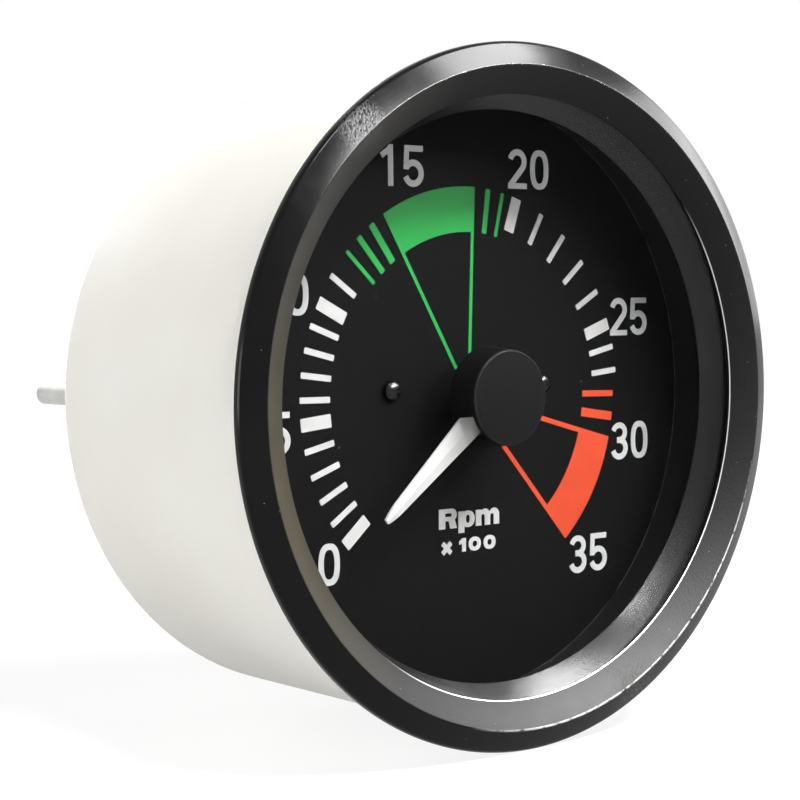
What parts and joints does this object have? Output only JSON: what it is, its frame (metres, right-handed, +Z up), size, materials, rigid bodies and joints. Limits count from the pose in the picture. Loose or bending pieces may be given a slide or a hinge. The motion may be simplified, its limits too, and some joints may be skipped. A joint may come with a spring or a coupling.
{
  "type": "dashboard tachometer",
  "caption": "Round panel tachometer: pressed can with a black rolled bezel, lit dial under flat glass, turning pointer and rear studs and terminals.",
  "frame": {"origin": "on the can's axis, in the plane where the bezel's hem seats on the panel", "axes": "-Y is the way the dial faces, +Y runs back along the can to the studs, +Z is up on the dial, +X is right as the viewer sees the dial"},
  "size_m": [0.106, 0.0787, 0.106],
  "materials": {
    "can_enamel": "semi-gloss off-white",
    "bezel_black": "satin black",
    "glass": "clear",
    "rubber": "matt",
    "ring_dark": "satin dark grey",
    "dial_black": "matt black print",
    "print_white": "matt white print",
    "print_green": "matt green print",
    "print_red": "matt orange-red print",
    "screw_black": "glossy black",
    "pointer_white": "satin white",
    "cap_black": "satin black",
    "steel": "zinc plated",
    "brass": "turned",
    "magnet": "sintered",
    "frame_plastic": "moulded, ivory",
    "bobbin_plastic": "moulded",
    "copper": "enamelled copper wire",
    "board_green": "lacquered circuit board",
    "chip_black": "moulded",
    "capacitor_blue": "sleeved",
    "resistor_tan": "lacquered",
    "trimmer_blue": "moulded",
    "trimmer_white": "moulded",
    "block_black": "moulded black",
    "terminal_tin": "tinned brass",
    "bulb_glass": "clear"
  },
  "bodies": {
    "case": {"can": "can_enamel", "bezel": "bezel_black", "glass": "glass", "glass_gasket": "rubber", "inner_ring": "ring_dark", "dial_sleeve": "ring_dark", "dial": "dial_black", "white_marks": "print_white", "numerals": "print_white", "unit_lettering": "print_white", "green_band": "print_green", "red_band": "print_red", "dial_screws": "screw_black", "hairspring": "brass", "movement_frame": "frame_plastic", "front_bearing": "brass", "rear_bearing": "brass", "bobbin_front": "bobbin_plastic", "bobbin_rear": "bobbin_plastic", "inner_coil": "copper", "outer_coil": "copper", "flux_shield": "steel", "movement_screws": "steel", "circuit_board": "board_green", "board_screws": "steel", "converter_chip": "chip_black", "capacitors": "capacitor_blue", "resistors": "resistor_tan", "trimmer_body": "trimmer_blue", "calibration_plug": "rubber", "terminal_block": "block_black", "spade_terminals": "terminal_tin", "rear_studs": "steel", "stud_washers": "steel", "stud_nuts": "steel"},
    "pointer": {"hub_cap": "cap_black", "pointer_blade": "pointer_white", "pointer_boss": "cap_black", "spindle": "steel", "stop_arm": "brass", "spring_collet": "brass", "rotor_magnet": "magnet"},
    "trimmer": {"trimmer_screw": "trimmer_white"},
    "lamp_top": {"lamp_holder_top": "block_black", "bulb_top": "bulb_glass"},
    "lamp_bottom": {"lamp_holder_bottom": "block_black", "bulb_bottom": "bulb_glass"}
  },
  "joints": [
    {"name": "pointer_turn", "type": "hinge", "parent": "case", "child": "pointer", "pos_m": [0, 0.02, 0], "axis": [0, 1, 0], "range_deg": [0, 268], "stiffness_Nm_per_rad": 0.0001, "springref_deg": -20.05},
    {"name": "trimmer_turn", "type": "hinge", "parent": "case", "child": "trimmer", "pos_m": [0.018, 0.0477, 0.012], "axis": [0, 1, 0], "range_deg": [-135, 135]},
    {"name": "lamp_top_twist", "type": "hinge", "parent": "case", "child": "lamp_top", "pos_m": [0, 0.0515, 0.038], "axis": [0, -1, 0], "range_deg": [0, 60]},
    {"name": "lamp_bottom_twist", "type": "hinge", "parent": "case", "child": "lamp_bottom", "pos_m": [0, 0.0515, -0.038], "axis": [0, -1, 0], "range_deg": [0, 60]}
  ]
}
